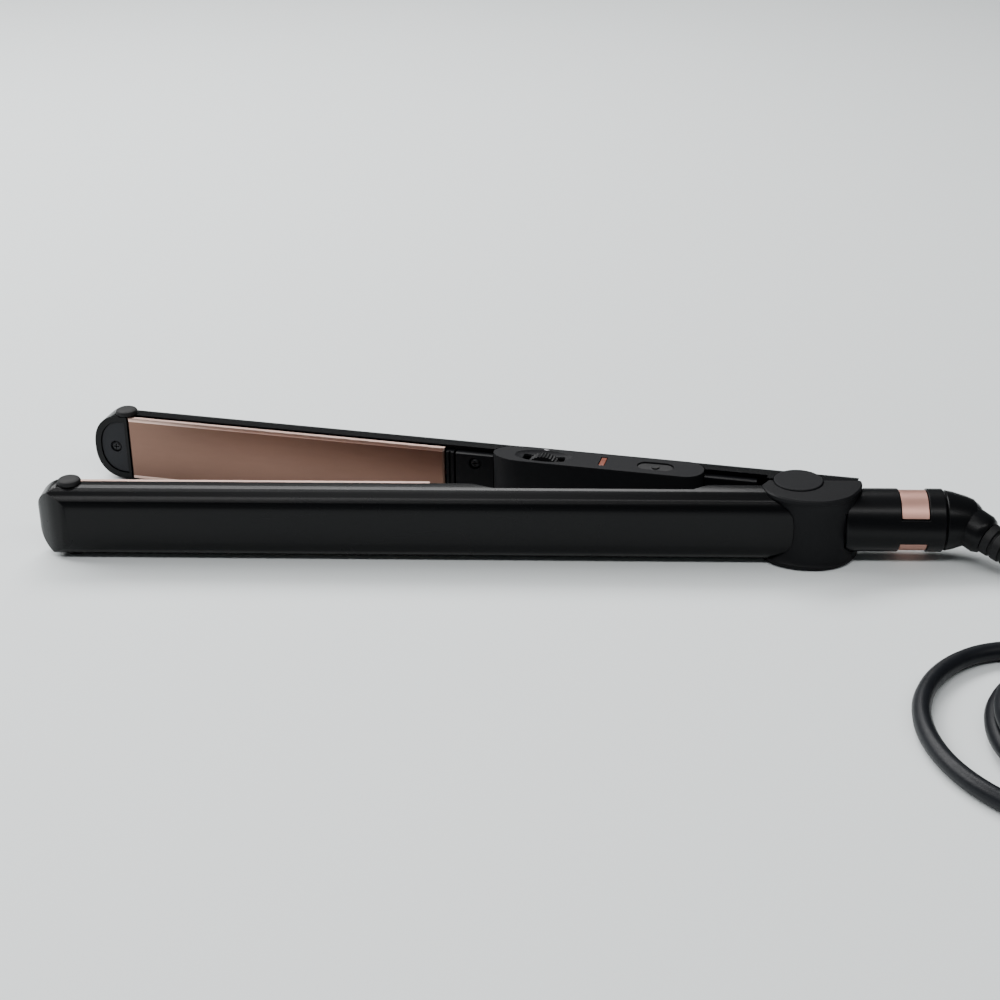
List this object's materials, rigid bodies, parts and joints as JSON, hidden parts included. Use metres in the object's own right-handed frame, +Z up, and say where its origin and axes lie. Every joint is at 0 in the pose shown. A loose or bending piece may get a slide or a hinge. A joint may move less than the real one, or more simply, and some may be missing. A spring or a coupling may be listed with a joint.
{
  "type": "flat iron",
  "caption": "Slim hair-straightening iron lying on its side, two hinged arms with rose-gold heater plates, dial and key on a side pod, swivel cord with plug.",
  "frame": {"origin": "on the hinge axis at the flat face of the lower hinge cap, the plane that the iron lies on", "axes": "+X from the tips toward the cord end, along the fixed arm; +Z up along the hinge pin; +Y toward the moving arm"},
  "size_m": [0.4098, 0.2438, 0.0287],
  "materials": {
    "black_plastic": "satin moulded",
    "charcoal_plastic": "fine matt texture",
    "rubber": "soft matt",
    "rose_gold_plate": "satin coated",
    "rose_gold_inlay": "satin coated",
    "zinc_steel": "zinc plated",
    "spring_steel": "bright wire",
    "ceramic": "fired, matt",
    "board_laminate": "coated laminate",
    "red_lens": "clear, moulded",
    "lamp_resin": "clear resin",
    "blade_brass": "polished",
    "cord_jacket": "matt extruded",
    "lead_jacket": "silicone"
  },
  "bodies": {
    "front_arm": {"front_casing": "black_plastic", "front_tip_insert": "charcoal_plastic", "front_tip_screw": "zinc_steel", "front_upper_bumper": "rubber", "front_lower_bumper": "rubber", "front_plate_spring_a": "spring_steel", "front_plate_spring_b": "spring_steel", "front_end_block": "charcoal_plastic", "front_inner_cover": "black_plastic", "front_upper_cover_screw": "zinc_steel", "front_lower_cover_screw": "zinc_steel", "front_heater_lead": "lead_jacket", "hinge_hub": "charcoal_plastic", "hinge_pin": "zinc_steel", "upper_hinge_cap": "charcoal_plastic", "lower_hinge_cap": "charcoal_plastic", "hinge_spring": "spring_steel", "tail_barrel": "black_plastic", "upper_inlay": "rose_gold_inlay", "lower_inlay": "rose_gold_inlay", "swivel_bearing": "charcoal_plastic"},
    "rear_arm": {"rear_casing": "black_plastic", "rear_tip_insert": "charcoal_plastic", "rear_tip_screw": "zinc_steel", "rear_upper_bumper": "rubber", "rear_lower_bumper": "rubber", "rear_plate_spring_a": "spring_steel", "rear_plate_spring_b": "spring_steel", "rear_end_block": "charcoal_plastic", "rear_inner_cover": "black_plastic", "rear_upper_cover_screw": "zinc_steel", "rear_lower_cover_screw": "zinc_steel", "rear_heater_lead": "lead_jacket", "control_pod": "charcoal_plastic", "control_board": "board_laminate", "dial_sensor": "board_laminate", "indicator_lens": "red_lens", "indicator_lamp": "lamp_resin", "power_switch": "black_plastic"},
    "front_plate": {"front_heater_plate": "rose_gold_plate", "front_ceramic_heater": "ceramic", "front_plate_carrier": "charcoal_plastic"},
    "rear_plate": {"rear_heater_plate": "rose_gold_plate", "rear_ceramic_heater": "ceramic", "rear_plate_carrier": "charcoal_plastic"},
    "dial": {"dial": "charcoal_plastic"},
    "power_button": {"power_button": "charcoal_plastic"},
    "cord_end": {"swivel_cap": "black_plastic", "strain_relief": "rubber", "cord_run": "cord_jacket", "cord_coil": "cord_jacket", "cord_tie": "charcoal_plastic", "plug_body": "rubber", "left_blade": "blade_brass", "right_blade": "blade_brass"}
  },
  "joints": [
    {"name": "arm_hinge", "type": "hinge", "parent": "front_arm", "child": "rear_arm", "pos_m": [0, 0, 0.0138], "axis": [0, 0, 1], "range_deg": [0, 12.1], "stiffness_Nm_per_rad": 0.3, "springref_deg": -22.92},
    {"name": "front_plate_float", "type": "slide", "parent": "front_arm", "child": "front_plate", "axis": [0, -1, 0], "range_m": [0, 0.0007], "stiffness_N_per_m": 1500, "springref_m": -0.001, "deforming": ["front_plate_spring_a", "front_plate_spring_b"]},
    {"name": "rear_plate_float", "type": "slide", "parent": "rear_arm", "child": "rear_plate", "axis": [0.2098, 0.9777, 0], "range_m": [0, 0.0007], "stiffness_N_per_m": 1500, "springref_m": -0.001, "deforming": ["rear_plate_spring_a", "rear_plate_spring_b"]},
    {"name": "dial_turn", "type": "hinge", "parent": "rear_arm", "child": "dial", "pos_m": [-0.08929, 0.02049, 0.0206], "axis": [0.2098, 0.9777, 0], "range_deg": [-135, 135]},
    {"name": "power_button_press", "type": "slide", "parent": "rear_arm", "child": "power_button", "axis": [0, 0, -1], "range_m": [0, 0.0008], "stiffness_N_per_m": 500, "springref_m": -0.0006},
    {"name": "cord_swivel", "type": "hinge", "parent": "front_arm", "child": "cord_end", "pos_m": [0.0503, -0.0032, 0.0138], "axis": [1, 0, 0], "continuous": true}
  ]
}
